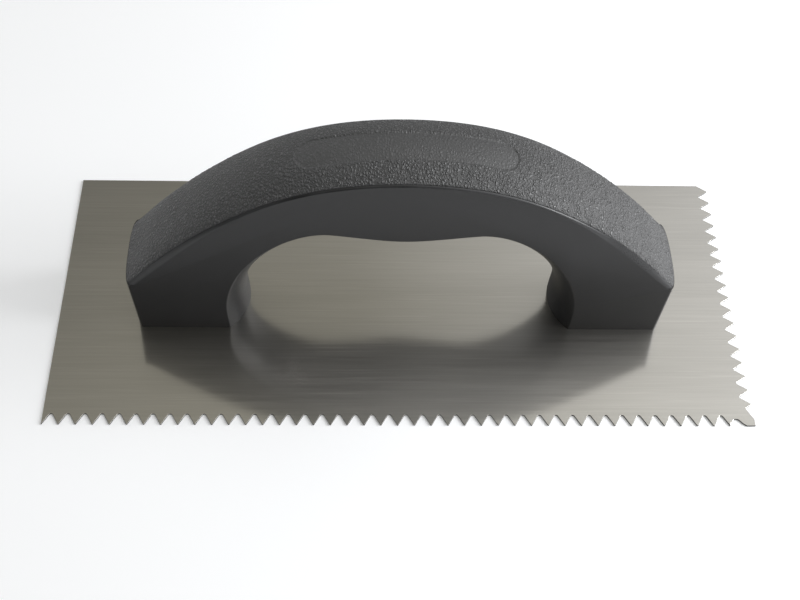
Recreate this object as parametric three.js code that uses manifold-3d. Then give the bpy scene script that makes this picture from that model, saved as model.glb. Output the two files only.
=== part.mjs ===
// Notched trowel for spreading adhesive: a thin flat steel blade with V-notches along one long
// edge and one short edge, and an arched plastic handle with a textured grip cover. Four
// countersunk screws hold the handle from below, in dimples pressed into the blade.
// Millimetres, +Z up. The origin is the centre of the blade's underside, +X runs along the
// blade towards its notched short edge, and the notched long edge faces -Y.
import * as THREE from 'three';
import { mergeVertices } from 'three/addons/utils/BufferGeometryUtils.js';
import Module from 'manifold-3d';

const wasm = await Module();
wasm.setup();

// Blade
const BLADE_LENGTH = 228.6;
const BLADE_THICKNESS = 0.6;
const LONG_EDGE_PITCHES = 42.5;
const SHORT_EDGE_PITCHES = 19;
const PITCH = BLADE_LENGTH / LONG_EDGE_PITCHES;
const BLADE_DEPTH = PITCH * SHORT_EDGE_PITCHES;
const NOTCH_WIDTH = 5.1;
const LONG_EDGE_NOTCH = { depth: 3.8, valley: 0.8 };
const SHORT_EDGE_NOTCH = { depth: 3.5, valley: 0.4 };

// The notch beside the blade's square front corner, on its long and on its short edge: how
// far the corner's land and the notch's valley lie from the corner, and the valley's size
const LONG_CORNER = { land: 2.8, valley: 5.95, width: 1.3, depth: 2.4 };
const SHORT_CORNER = { land: 2.5, valley: 6.5, width: 0.3, depth: 2.1 };
const LAST_TOOTH_LOSS = 0.75;

// Handle, seen from the front: half outlines in X, and in Z above the blade's top face
const HANDLE_WIDTH = 27.4;
const FOOT_INSIDE = 56.8;
const FOOT_OUTSIDE = 85.5;
const SHOULDER = [87.2, 23.1];
const CREST_HEIGHT = 72.4;
const CREST_PULL = 44.9;
const SHOULDER_PULL = [63.6, 47.7];
const LEG_STRAIGHT = [57.3, 9];
const LEG_PULL = 31.3;
const ARCH_TOP = [24.6, 49.5];
const ARCH_PULL = 38.6;
const PALM_SWELL_HEIGHT = 46.6;
const PALM_SWELL_PULLS = [20.6, 8.5];

// How far each face of the handle bulges at the middle of its width. Its ends are square: a
// high flatness keeps their middle level, and a low fullness turns them over at their edges.
// The crown is as square as the ends at first, and round from its own blend onwards.
const CREST_BULGE = 3.2;
const END_BULGE = 2.8;
const FINGER_BULGE = 6;
const SHOULDER_BLEND = 0.15;
const SQUARE_FLATNESS = 2.6;
const SQUARE_FULLNESS = 0.42;
const SQUARE_BLEND = [0.15, 0.6];

// Grip cover, thin along its edges and thick in the middle, and the blank recess in its top
const COVER_EDGE_THICKNESS = 0.7;
const COVER_THICKNESS = 2;
const COVER_SWELL = COVER_THICKNESS - COVER_EDGE_THICKNESS;
const COVER_WIDTH = 26.2;
const RECESS_LENGTH = 68;
const RECESS_WIDTH = 11.7;
const RECESS_DEPTH = 0.35;

// Screws and the dimples that take their heads; every cone has a 45 degree wall
const CLEARANCE = 0.3;
const SCREW_PLACES = { outer: 78.5, inner: 63.5 };
const SCREW_LENGTH = 16;
const SHANK_RADIUS = 1.9;
const HEAD_RADIUS = 3.9;
const HEAD_INSET = 0.15;
const HEAD_RIM = 0.2;
const TIP_LENGTH = 4;
const TIP_RADIUS = 0.4;
const DRIVE_HALF_LENGTH = 2;
const DRIVE_HALF_WIDTH = 0.55;
const DRIVE_DEPTH = 1.4;
const CLEARANCE_ON_CONE = CLEARANCE * Math.SQRT2;
const HOLE_RADIUS = SHANK_RADIUS + CLEARANCE;
const DIMPLE_RADIUS = HEAD_RADIUS + HEAD_RIM + HEAD_INSET + CLEARANCE_ON_CONE;
const DIMPLE_OUTER_RADIUS = DIMPLE_RADIUS + BLADE_THICKNESS * Math.SQRT2;
const SOCKET_RADIUS = DIMPLE_OUTER_RADIUS + CLEARANCE_ON_CONE;
const PILOT_SPARE = 1;

// Facets
const CREST_STEPS = 20;
const LEG_STEPS = 10;
const SWELL_STEPS = 6;
const WIDTH_STEPS = 12;
const ROUND_SEGMENTS = 20;

// How far a cutting shape runs past the face that it cuts
const PAST = 2;

function finish(color, roughness, metalness) {
  return new THREE.MeshStandardMaterial({ color, roughness, metalness });
}

const STEEL = finish(0xb4b1a8, 0.35, 1);
const HARD_PLASTIC = finish(0x2c2c2e, 0.45, 0);
const SOFT_GRIP = finish(0x4a4a4c, 0.75, 0);
const ZINC = finish(0x9a9a98, 0.4, 1);

// Closed solids and the cuts between them

function toSolid(geometry) {
  geometry.deleteAttribute('normal');
  geometry.deleteAttribute('uv');
  const merged = mergeVertices(geometry, 1e-5);
  return new wasm.Manifold(new wasm.Mesh({
    numProp: 3,
    vertProperties: new Float32Array(merged.attributes.position.array),
    triVerts: new Uint32Array(merged.index.array),
  }));
}

function toGeometry(solid) {
  const mesh = solid.getMesh();
  const geometry = new THREE.BufferGeometry();
  geometry.setAttribute('position', new THREE.BufferAttribute(mesh.vertProperties, 3));
  geometry.setIndex(new THREE.BufferAttribute(mesh.triVerts, 1));
  geometry.computeVertexNormals();
  return geometry;
}

// A solid turned about the Z axis through (x, 0), from [radius, height] pairs that run
// upwards along its outer side.
function turned(profile, x) {
  const points = profile.map(([radius, height]) => new THREE.Vector2(radius, height));
  const geometry = new THREE.LatheGeometry(points, ROUND_SEGMENTS);
  geometry.rotateX(Math.PI / 2);
  geometry.translate(x, 0, 0);
  return toSolid(geometry);
}

// A flat outline of [x, y] pairs raised from one height to another.
function raised(outline, bottom, top) {
  const shape = new THREE.Shape(outline.map(([x, y]) => new THREE.Vector2(x, y)));
  const geometry = new THREE.ExtrudeGeometry(shape, { depth: top - bottom, bevelEnabled: false });
  geometry.translate(0, 0, bottom);
  return toSolid(geometry);
}

// Blade

// An edge is a list of [distance along, depth in] pairs. A valley is a notch's flat bottom.
function valley(middle, width, depth) {
  return [[middle - width / 2, depth], [middle + width / 2, depth]];
}

function evenNotch(index, notch) {
  const middle = (index + 0.5) * PITCH;
  return [
    [middle - NOTCH_WIDTH / 2, 0],
    ...valley(middle, notch.valley, notch.depth),
    [middle + NOTCH_WIDTH / 2, 0],
  ];
}

// The long edge starts on a tooth's tip. Its last tooth is a little short, and is followed
// by a wide shallow notch and the square corner.
function longEdge() {
  const { land, valley: fromCorner, width, depth } = LONG_CORNER;
  const fullNotches = Math.floor(LONG_EDGE_PITCHES) - 1;
  const edge = [[0, 0]];
  for (let index = 0; index < fullNotches; index += 1) {
    edge.push(...evenNotch(index, LONG_EDGE_NOTCH));
  }
  edge[edge.length - 1] = [fullNotches * PITCH, LAST_TOOTH_LOSS];
  edge.push(...valley(BLADE_LENGTH - fromCorner, width, depth));
  edge.push([BLADE_LENGTH - land, 0], [BLADE_LENGTH, 0]);
  return edge;
}

// The short edge runs back from the same corner, past a shallow notch that leans towards the
// first tooth. Its last notch is cut through by the blade's back edge.
function shortEdge() {
  const { land, valley: fromCorner, width, depth } = SHORT_CORNER;
  const edge = [[land, 0], ...valley(fromCorner, width, depth)];
  edge.push([1.5 * PITCH - (PITCH - NOTCH_WIDTH) / 2, 0]);
  for (let index = 1; index <= SHORT_EDGE_PITCHES - 2; index += 1) {
    edge.push(...evenNotch(index + 0.5, SHORT_EDGE_NOTCH));
  }
  edge.push([BLADE_DEPTH - NOTCH_WIDTH / 2, 0], [BLADE_DEPTH, SHORT_EDGE_NOTCH.depth]);
  return edge;
}

function bladeOutline() {
  const right = BLADE_LENGTH / 2;
  const back = BLADE_DEPTH / 2;
  const front = longEdge().map(([along, depth]) => [along - right, depth - back]);
  const side = shortEdge().map(([along, depth]) => [right - depth, along - back]);
  return [...front, ...side, [-right, back]];
}

function screwCentres() {
  return [-1, 1].flatMap((side) => Object.values(SCREW_PLACES).map((place) => side * place));
}

function blade() {
  const sheetOverlap = 0.4;
  const openRadius = DIMPLE_OUTER_RADIUS;
  const dimpleTop = DIMPLE_OUTER_RADIUS - HOLE_RADIUS;
  const dimpleMouth = DIMPLE_RADIUS - HOLE_RADIUS;
  let sheet = raised(bladeOutline(), 0, BLADE_THICKNESS);
  for (const x of screwCentres()) {
    sheet = sheet.subtract(turned([
      [0, -PAST], [openRadius, -PAST], [openRadius, PAST], [0, PAST]], x));
    sheet = sheet.add(turned([
      [DIMPLE_RADIUS, 0],
      [openRadius + sheetOverlap, 0],
      [openRadius + sheetOverlap, BLADE_THICKNESS],
      [DIMPLE_OUTER_RADIUS - BLADE_THICKNESS, BLADE_THICKNESS],
      [HOLE_RADIUS, dimpleTop],
      [HOLE_RADIUS, dimpleMouth],
      [DIMPLE_RADIUS, 0],
    ], x));
  }
  return toGeometry(sheet);
}

// Handle

// How far a face that bulges by rise stands out, at a distance from the middle of its width.
// Beyond the half width that it bulges over, it is level.
function bulge(rise, distance, halfWidth, square) {
  const across = Math.min(Math.abs(distance), halfWidth);
  const radius = (halfWidth ** 2 + rise ** 2) / (2 * rise);
  const round = Math.sqrt(radius ** 2 - across ** 2) - (radius - rise);
  const boxed = rise * (1 - (across / halfWidth) ** SQUARE_FLATNESS) ** SQUARE_FULLNESS;
  return THREE.MathUtils.lerp(round, boxed, square);
}

function bezier(start, pullStart, pullEnd, end) {
  const corners = [start, pullStart, pullEnd, end].map(([x, z]) => new THREE.Vector2(x, z));
  return new THREE.CubicBezierCurve(...corners);
}

// A place on the outline: its point, and how it moves at the middle of the handle's width.
function place(x, z, outX, outZ, rise, square = 0, halfWidth = HANDLE_WIDTH / 2) {
  return { x, z, outX, outZ, rise, square, halfWidth };
}

// The crown from the right shoulder to the crest, set in by a depth along its own normal, and
// by swell more at the middle of the handle's width. The first point slides along the
// shoulder's level instead, so that a band ends square.
function crown(depth, swell = 0) {
  const curve = bezier(SHOULDER, SHOULDER_PULL, [CREST_PULL, CREST_HEIGHT], [0, CREST_HEIGHT]);
  const places = [];
  for (let step = 0; step <= CREST_STEPS; step += 1) {
    const along = step / CREST_STEPS;
    const point = curve.getPoint(along);
    const tangent = curve.getTangent(along);
    const normal = new THREE.Vector2(tangent.y, -tangent.x);
    const lift = THREE.MathUtils.smoothstep(along, 0, SHOULDER_BLEND);
    const rise = THREE.MathUtils.lerp(END_BULGE, CREST_BULGE, along) - swell;
    const square = 1 - THREE.MathUtils.smoothstep(along, ...SQUARE_BLEND);
    const x = step === 0 ? point.x - depth / normal.x : point.x - depth * normal.x;
    const z = step === 0 ? point.y : point.y - depth * normal.y;
    places.push(place(x, z, normal.x, normal.y * lift, rise, square, COVER_WIDTH / 2));
  }
  return places;
}

// The finger side from the palm swell's middle down to the right foot.
function fingerSide() {
  const swell = bezier([0, PALM_SWELL_HEIGHT], [PALM_SWELL_PULLS[1], PALM_SWELL_HEIGHT],
    [PALM_SWELL_PULLS[0], ARCH_TOP[1]], ARCH_TOP);
  const leg = bezier(ARCH_TOP, [ARCH_PULL, ARCH_TOP[1]], [LEG_STRAIGHT[0], LEG_PULL],
    LEG_STRAIGHT);
  const places = [];
  for (const [curve, steps] of [[swell, SWELL_STEPS], [leg, LEG_STEPS]]) {
    for (let step = places.length ? 1 : 0; step <= steps; step += 1) {
      const point = curve.getPoint(step / steps);
      const tangent = curve.getTangent(step / steps);
      places.push(place(point.x, point.y, tangent.y, -tangent.x, FINGER_BULGE));
    }
  }
  places.push(place(FOOT_INSIDE, 0, -1, 0, FINGER_BULGE));
  return places;
}

function mirrored(places) {
  return places.map((each) => ({ ...each, x: -each.x, outX: -each.outX })).reverse();
}

function rightToLeft(places) {
  return [...places, ...mirrored(places).slice(1)];
}

// The core's outline, anticlockwise seen from the front: along the right foot, up its end to
// the ledge that the cover ends on, over the crown, and back along the finger side.
function coreOutline() {
  const ledge = place(SHOULDER[0], SHOULDER[1] - CLEARANCE, 1, 0, END_BULGE, 1);
  const footEnd = place(FOOT_OUTSIDE, 0, 1, 0, END_BULGE, 1);
  const [top, ...rest] = crown(COVER_EDGE_THICKNESS + CLEARANCE, COVER_SWELL);
  const ledgeInside = { ...top, z: ledge.z };
  const ends = [footEnd, ...rightToLeft([ledge, ledgeInside, ...rest]), ...mirrored([footEnd])];
  const under = fingerSide();
  return [...ends, ...mirrored(under), ...under.slice(1)];
}

function coverOutline() {
  const inside = crown(COVER_EDGE_THICKNESS, COVER_SWELL);
  return [...rightToLeft(crown(0)), ...rightToLeft(inside).reverse()];
}

// A solid that carries an outline across the handle's width, bulging in the middle.
function lofted(outline, halfWidth) {
  const positions = [];
  const indices = [];
  const count = outline.length;
  for (let step = 0; step <= WIDTH_STEPS; step += 1) {
    const y = halfWidth * -Math.cos(Math.PI * step / WIDTH_STEPS);
    for (const { x, z, outX, outZ, rise, square, halfWidth: reach } of outline) {
      const out = bulge(rise, y, reach, square);
      positions.push(x + outX * out, y, z + outZ * out + BLADE_THICKNESS);
    }
  }
  for (let step = 0; step < WIDTH_STEPS; step += 1) {
    for (let index = 0; index < count; index += 1) {
      const next = (index + 1) % count;
      const a = step * count + index;
      const b = step * count + next;
      indices.push(a, b + count, b, a, a + count, b + count);
    }
  }
  const flat = outline.map(({ x, z }) => new THREE.Vector2(x, z));
  const last = WIDTH_STEPS * count;
  for (const [a, b, c] of THREE.ShapeUtils.triangulateShape(flat, [])) {
    indices.push(a, b, c, last + a, last + c, last + b);
  }
  const geometry = new THREE.BufferGeometry();
  geometry.setAttribute('position', new THREE.Float32BufferAttribute(positions, 3));
  geometry.setIndex(indices);
  return toSolid(geometry);
}

// The core keeps clear of the cover, and its feet have a socket for each dimple and a
// pilot hole for each screw.
function handleCore() {
  const pilotTop = HEAD_INSET + SCREW_LENGTH + PILOT_SPARE;
  const socketMouth = SOCKET_RADIUS - BLADE_THICKNESS;
  let core = lofted(coreOutline(), HANDLE_WIDTH / 2);
  for (const x of screwCentres()) {
    core = core.subtract(turned([
      [0, -PAST],
      [socketMouth + PAST, -PAST],
      [socketMouth, BLADE_THICKNESS],
      [HOLE_RADIUS, SOCKET_RADIUS - HOLE_RADIUS],
      [HOLE_RADIUS, pilotTop],
      [0, pilotTop],
    ], x));
  }
  return toGeometry(core);
}

// The cover is a band over the crown. Its recess has round ends, and its floor keeps the
// crown's own curve.
function gripCover() {
  const halfWidth = COVER_WIDTH / 2;
  const radius = RECESS_WIDTH / 2;
  const straight = RECESS_LENGTH / 2 - radius;
  const ends = [];
  for (const side of [1, -1]) {
    for (let step = 0; step <= ROUND_SEGMENTS / 2; step += 1) {
      const angle = Math.PI * (step / (ROUND_SEGMENTS / 2) - 0.5);
      const x = side * (straight + radius * Math.cos(angle));
      ends.push([x, side * radius * Math.sin(angle)]);
    }
  }
  const floor = lofted([
    ...rightToLeft(crown(RECESS_DEPTH)),
    place(-SHOULDER[0], 0, 0, 0, END_BULGE),
    place(SHOULDER[0], 0, 0, 0, END_BULGE),
  ], halfWidth);
  const cutter = raised(ends, PALM_SWELL_HEIGHT, CREST_HEIGHT + CREST_BULGE + PAST);
  return toGeometry(lofted(coverOutline(), halfWidth).subtract(cutter.subtract(floor)));
}

// Screws

// A countersunk screw with its head down: a short rim, a 45 degree cone, the shank and a
// blunt point. A cross drive is cut into the head.
function screw(x) {
  const headTop = HEAD_INSET + HEAD_RIM + HEAD_RADIUS - SHANK_RADIUS;
  const body = turned([
    [0, HEAD_INSET],
    [HEAD_RADIUS, HEAD_INSET],
    [HEAD_RADIUS, HEAD_INSET + HEAD_RIM],
    [SHANK_RADIUS, headTop],
    [SHANK_RADIUS, HEAD_INSET + SCREW_LENGTH - TIP_LENGTH],
    [TIP_RADIUS, HEAD_INSET + SCREW_LENGTH],
    [0, HEAD_INSET + SCREW_LENGTH],
  ], x);
  const cross = [[1, 1], [-1, 1], [-1, -1], [1, -1]].flatMap(([sideX, sideY]) => {
    const arm = [sideX * DRIVE_HALF_LENGTH, sideY * DRIVE_HALF_WIDTH];
    const inner = [sideX * DRIVE_HALF_WIDTH, sideY * DRIVE_HALF_WIDTH];
    const stem = [sideX * DRIVE_HALF_WIDTH, sideY * DRIVE_HALF_LENGTH];
    return sideX === sideY ? [arm, inner, stem] : [stem, inner, arm];
  });
  const drive = raised(cross.map(([crossX, crossY]) => [x + crossX, crossY]),
    HEAD_INSET - PAST, HEAD_INSET + DRIVE_DEPTH);
  return toGeometry(body.subtract(drive));
}

function part(name, geometry, material) {
  const mesh = new THREE.Mesh(geometry, material);
  mesh.name = name;
  return mesh;
}

const trowel = new THREE.Group();
trowel.add(part('blade', blade(), STEEL));
trowel.add(part('handle_core', handleCore(), HARD_PLASTIC));
trowel.add(part('grip_cover', gripCover(), SOFT_GRIP));
for (const [side, sign] of [['left', -1], ['right', 1]]) {
  for (const [row, distance] of Object.entries(SCREW_PLACES)) {
    trowel.add(part(`screw_${side}_${row}`, screw(sign * distance), ZINC));
  }
}

export default trowel;
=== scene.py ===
"""Notched trowel, drawn in full detail around its fixed frame.

The file is laid out as an add-on: property groups hold the sizes and colours, each piece has
an operator, and main() runs the operators in order. Lengths are in metres, +Z is up, the
origin is the centre of the blade's underside, and the notched long edge faces -Y.
"""
import math

import bmesh
import bpy
import numpy as np
from bpy.props import FloatProperty, FloatVectorProperty, IntProperty, PointerProperty
from mathutils import Euler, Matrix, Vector


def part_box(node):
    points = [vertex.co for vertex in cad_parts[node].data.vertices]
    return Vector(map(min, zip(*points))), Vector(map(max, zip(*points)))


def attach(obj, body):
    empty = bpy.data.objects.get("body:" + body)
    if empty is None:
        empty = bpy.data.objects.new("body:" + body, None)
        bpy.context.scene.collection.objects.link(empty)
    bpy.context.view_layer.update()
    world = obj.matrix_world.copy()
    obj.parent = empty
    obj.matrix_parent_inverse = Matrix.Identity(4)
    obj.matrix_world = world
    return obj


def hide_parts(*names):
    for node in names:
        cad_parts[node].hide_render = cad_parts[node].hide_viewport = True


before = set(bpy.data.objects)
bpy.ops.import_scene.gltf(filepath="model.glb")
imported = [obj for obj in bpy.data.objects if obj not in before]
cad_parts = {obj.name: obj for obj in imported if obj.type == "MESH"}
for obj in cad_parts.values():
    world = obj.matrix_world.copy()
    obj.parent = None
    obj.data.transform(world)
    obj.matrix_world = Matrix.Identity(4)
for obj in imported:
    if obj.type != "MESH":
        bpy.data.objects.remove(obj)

bl_info = {
    "name": "Notched Trowel",
    "version": (1, 0, 0),
    "blender": (4, 5, 0),
    "location": "3D View > Sidebar > Trowel",
    "description": "Blade, handle, grip band and screws of a notched trowel",
    "category": "Add Mesh",
}

MM = 0.001
WELD = 1e-6  # points closer than this are taken as one
SCREW_NODES = [f"screw_{side}_{row}" for side in ("left", "right") for row in ("outer", "inner")]

# Places taken from the frame
BLADE_LOW, BLADE_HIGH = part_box("blade")
CORE_LOW, CORE_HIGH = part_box("handle_core")
COVER_LOW, COVER_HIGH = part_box("grip_cover")
BLADE_TOP = CORE_LOW.z
BLADE_LENGTH = BLADE_HIGH.x - BLADE_LOW.x
BLADE_DEPTH = BLADE_HIGH.y - BLADE_LOW.y
SCREW_BOXES = [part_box(name) for name in SCREW_NODES]

# How many tooth pitches fit each notched edge
LONG_EDGE_PITCHES = 42.5
SHORT_EDGE_PITCHES = 19

# The handle's half outlines, seen from the front, in X and in Z above the blade's top face
FOOT_INSIDE = 56.8 * MM
FOOT_OUTSIDE = 85.5 * MM
SHOULDER = (87.2 * MM, 23.1 * MM)
SHOULDER_PULL = (63.6 * MM, 47.7 * MM)
CREST_HEIGHT = 72.4 * MM
CREST_PULL = 44.9 * MM
LEG_STRAIGHT = (57.3 * MM, 9 * MM)
LEG_PULL = 31.3 * MM
FOOT_PULLS = ((57.25 * MM, 6 * MM), (57 * MM, 3 * MM))
ARCH_TOP = (24.6 * MM, 49.5 * MM)
ARCH_PULL = 38.6 * MM
PALM_SWELL_HEIGHT = 46.6 * MM
PALM_SWELL_PULLS = (8.5 * MM, 20.6 * MM)

# How far each face of the handle bulges at the middle of its width. Its ends are square: a
# high flatness keeps their middle level, and a low fullness turns them over at their edges.
# The inset draws the top of each end in, so that it shows no rim outside the grip band.
CREST_BULGE = 3.2 * MM
END_BULGE = 2.8 * MM
FINGER_BULGE = 6 * MM
SHOULDER_INSET = 0.7 * MM
SHOULDER_BLEND = 0.15
SQUARE_FLATNESS = 2.6
SQUARE_FULLNESS = 0.42
SQUARE_BLEND = (0.15, 0.6)
HALF_WIDTH = (CORE_HIGH.y - CORE_LOW.y) / 2
BAND_HALF_WIDTH = (COVER_HIGH.y - COVER_LOW.y) / 2

# The crown is turned level over this distance from each shoulder
LEVEL_REACH = 1.5 * MM

# The smooth bevel beside the grip band is wide over the legs and narrow over the crest, and
# the joint beside the band opens out between the shoulders and the crown
BEVEL_LEG = 1.1 * MM
BEVEL_CREST = 0.62 * MM
BEVEL_BLEND = (0.2, 0.62)
BEVEL_FULLNESS = 0.35
JOINT_CLOSED = 0.2
JOINT_BLEND = (0.12, 0.45)

# The grip band's section
BAND_EDGE = 0.7 * MM
BAND_MIDDLE = 2 * MM
BAND_SWELL = BAND_MIDDLE - BAND_EDGE
SEAT_GAP = 0.1 * MM


def length_property(name, description, default):
    return FloatProperty(name=name, description=description, default=default,
                         unit="LENGTH", subtype="DISTANCE", precision=5)


def share_property(name, description, default):
    return FloatProperty(name=name, description=description, default=default, min=0, max=1)


def colour_property(name, description, default):
    return FloatVectorProperty(name=name, description=description, default=default,
                               size=3, min=0, max=1, subtype="COLOR")


class TrowelBladeSettings(bpy.types.PropertyGroup):
    """Sizes and finish of the blade."""
    pitch: length_property("Tooth pitch", "Distance between neighbouring teeth",
                           BLADE_LENGTH / LONG_EDGE_PITCHES)
    notch_width: length_property("Notch width", "Width of a notch at its mouth", 5.1 * MM)
    long_depth: length_property("Long edge depth", "Depth of the long edge's notches", 3.8 * MM)
    long_valley: length_property("Long edge valley", "Width that the round of each valley "
                                 "replaces on the long edge", 0.8 * MM)
    short_depth: length_property("Short edge depth", "Depth of the short edge's notches",
                                 3.5 * MM)
    short_valley: length_property("Short edge valley", "Width that the round of each valley "
                                  "replaces on the short edge", 0.4 * MM)
    edge_bevel: length_property("Edge bevel", "Bevel along the sheet's cut edges", 0.07 * MM)
    steel: colour_property("Steel", "Colour of the brushed steel", (0.60, 0.585, 0.556))
    roughness: share_property("Roughness", "Roughness of the mirrored part", 0.11)
    haze_roughness: share_property("Haze roughness", "Roughness of the hazy part", 0.34)
    haze: share_property("Haze", "Share of light that the haze spreads", 0.36)


class TrowelHandleSettings(bpy.types.PropertyGroup):
    """Sizes and finish of the smooth handle."""
    finger_round: length_property("Finger edge", "Radius of the finger side's edges", 0.8 * MM)
    joint_gap: length_property("Joint gap", "Gap under the grip band's ends", 0.05 * MM)
    band_step: length_property("Band step", "How far the band stands above the bevel", 0.16 * MM)
    plastic: colour_property("Plastic", "Colour of the smooth plastic", (0.026, 0.026, 0.027))
    roughness: share_property("Roughness", "Roughness of the smooth plastic", 0.42)


class TrowelGripSettings(bpy.types.PropertyGroup):
    """Sizes and finish of the textured grip band."""
    grain_size: length_property("Grain size", "Distance between grain cells", 0.95 * MM)
    grain_depth: length_property("Grain depth", "Height of the grain", 0.17 * MM)
    recess_length: length_property("Recess length", "Length of the blank recess", 68 * MM)
    recess_width: length_property("Recess width", "Width of the blank recess", 11.7 * MM)
    recess_depth: length_property("Recess depth", "Depth of the blank recess", 0.35 * MM)
    recess_grain: share_property("Recess grain", "Share of the grain's height inside the "
                                 "recess", 0.45)
    side_gap: length_property("Side gap", "Gap between the band and the bevel", 0.12 * MM)
    seed: IntProperty(name="Seed", description="Random order of the grain", default=7)
    rubber: colour_property("Grip", "Colour of the textured grip", (0.064, 0.064, 0.065))
    roughness: share_property("Roughness", "Roughness of the textured grip", 0.41)


class TrowelScrewSettings(bpy.types.PropertyGroup):
    """Sizes and finish of the screws."""
    thread_pitch: length_property("Thread pitch", "Distance between thread turns", 1.6 * MM)
    thread_depth: length_property("Thread depth", "Height of the thread", 0.5 * MM)
    seed: IntProperty(name="Seed", description="How far each screw is turned", default=3)
    zinc: colour_property("Zinc", "Colour of the plated screws", (0.55, 0.55, 0.54))


class TrowelStageSettings(bpy.types.PropertyGroup):
    """Floor, lights and camera."""
    floor: colour_property("Floor", "Colour of the pale floor", (0.92, 0.925, 0.94))
    floor_glow: FloatProperty(name="Floor glow", default=0.12, min=0,
                              description="Light that the floor gives off by itself")
    key_power: FloatProperty(name="Key light", description="Power of the key light",
                             default=3.6, min=0, unit="POWER")
    fill_power: FloatProperty(name="Fill light", description="Power of the fill light",
                              default=0.6, min=0, unit="POWER")


# Node trees

NOISE_RANGE = (0.3, 0.7)


class Wiring:
    """Adds nodes to a tree, and links or sets their inputs as they are added."""

    def __init__(self, tree):
        self.tree = tree

    def feed(self, node, inputs):
        for socket, value in inputs.items():
            target = node.inputs[socket]
            if isinstance(value, bpy.types.NodeSocket):
                self.tree.links.new(value, target)
            else:
                target.default_value = value

    def add(self, kind, inputs=None, **properties):
        node = self.tree.nodes.new(kind)
        for name, value in properties.items():
            setattr(node, name, value)
        self.feed(node, inputs or {})
        return node

    def math(self, operation, first, second=0.0, clamp=False):
        return self.add("ShaderNodeMath", {0: first, 1: second}, operation=operation,
                        use_clamp=clamp).outputs[0]

    def vector(self, operation, inputs):
        return self.add("ShaderNodeVectorMath", inputs, operation=operation).outputs[0]

    def remap(self, value, low, high, new_low=0.0, new_high=1.0, kind="LINEAR"):
        return self.add("ShaderNodeMapRange", {
            "Value": value, "From Min": low, "From Max": high,
            "To Min": new_low, "To Max": new_high}, interpolation_type=kind).outputs[0]

    def vary(self, noise, low, high):
        """A number that noise moves from low to high, over the range it mostly keeps to."""
        return self.remap(noise, *NOISE_RANGE, low, high)

    def mark(self, name):
        """A number that the mesh carries under a name."""
        return self.add("ShaderNodeAttribute", attribute_name=name).outputs["Fac"]

    def bump(self, height, strength, distance, **more):
        return self.add("ShaderNodeBump", {
            "Height": height, "Strength": strength, "Distance": distance, **more}).outputs[0]


def geometry_tree(name, inputs):
    """A geometry node tree with named inputs, given as (name, socket type) pairs."""
    tree = bpy.data.node_groups.new(name, "GeometryNodeTree")
    tree.interface.new_socket("Geometry", in_out="OUTPUT", socket_type="NodeSocketGeometry")
    tree.interface.new_socket("Geometry", in_out="INPUT", socket_type="NodeSocketGeometry")
    for label, kind in inputs:
        tree.interface.new_socket(label, in_out="INPUT", socket_type=kind)
    wiring = Wiring(tree)
    entry = wiring.add("NodeGroupInput")
    return tree, wiring, entry


def finish_tree(wiring, geometry, material):
    """Ends a tree: instances are made real and the material is set."""
    real = wiring.add("GeometryNodeRealizeInstances", {"Geometry": geometry})
    painted = wiring.add("GeometryNodeSetMaterial", {
        "Geometry": real.outputs["Geometry"], "Material": material})
    wiring.add("NodeGroupOutput", {"Geometry": painted.outputs["Geometry"]})


def applied(source, modifier):
    """The mesh that a modifier makes of an object, which then loses the modifier."""
    source.update_tag()
    bpy.context.view_layer.update()
    graph = bpy.context.evaluated_depsgraph_get()
    mesh = bpy.data.meshes.new_from_object(source.evaluated_get(graph))
    source.modifiers.remove(modifier)
    return mesh


def bake(source, tree, values, name):
    """Runs a tree on an object and returns the result as a plain mesh."""
    modifier = source.modifiers.new(tree.name, "NODES")
    modifier.node_group = tree
    sockets = {item.name: item.identifier for item in tree.interface.items_tree
               if item.in_out == "INPUT"}
    for label, value in values.items():
        modifier[sockets[label]] = value
    mesh = applied(source, modifier)
    mesh.name = name
    return mesh


def place(data, name):
    """Puts a mesh, a light or a camera in the scene as an object at the origin."""
    made = bpy.data.objects.new(name, data)
    bpy.context.scene.collection.objects.link(made)
    return made


def discard(*objects):
    """Removes helper objects and their meshes."""
    for item in objects:
        mesh = item.data
        bpy.data.objects.remove(item)
        bpy.data.meshes.remove(mesh)


def smooth(mesh, angle):
    """Smooth shading with a crease wherever the surface turns by more than an angle."""
    mesh.shade_smooth()
    mesh.set_sharp_from_angle(angle=math.radians(angle))


def cut(target, cutter):
    """Cuts one object out of another, and returns the cut mesh."""
    modifier = target.modifiers.new("Cut", "BOOLEAN")
    modifier.operation = "DIFFERENCE"
    modifier.solver = "EXACT"
    modifier.object = cutter
    return applied(target, modifier)


def write_mesh(shape, mesh):
    """Turns every face of a bmesh outwards and writes it to a mesh."""
    bmesh.ops.recalc_face_normals(shape, faces=shape.faces)
    shape.to_mesh(mesh)
    shape.free()
    return mesh


def clean(mesh, distance):
    """Merges a mesh's doubles and turns every face outwards."""
    shape = bmesh.new()
    shape.from_mesh(mesh)
    bmesh.ops.remove_doubles(shape, verts=shape.verts, dist=distance)
    write_mesh(shape, mesh)


def paint(mesh, material):
    """Leaves a mesh with one material only."""
    mesh.materials.clear()
    mesh.materials.append(material)


def around(centre, radius, segments):
    """Points on a level circle, as (x, y) pairs."""
    turns = [2 * math.pi * step / segments for step in range(segments)]
    return [(centre.x + radius * math.cos(angle), centre.y + radius * math.sin(angle))
            for angle in turns]


def skin(shape, lower, upper):
    """Faces between two rings of points. A ring of one point is a pole."""
    count = max(len(lower), len(upper))
    for step in range(count):
        after = (step + 1) % count
        corners = [lower[step % len(lower)], lower[after % len(lower)],
                   upper[after % len(upper)], upper[step % len(upper)]]
        shape.faces.new(list(dict.fromkeys(corners)))


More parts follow.
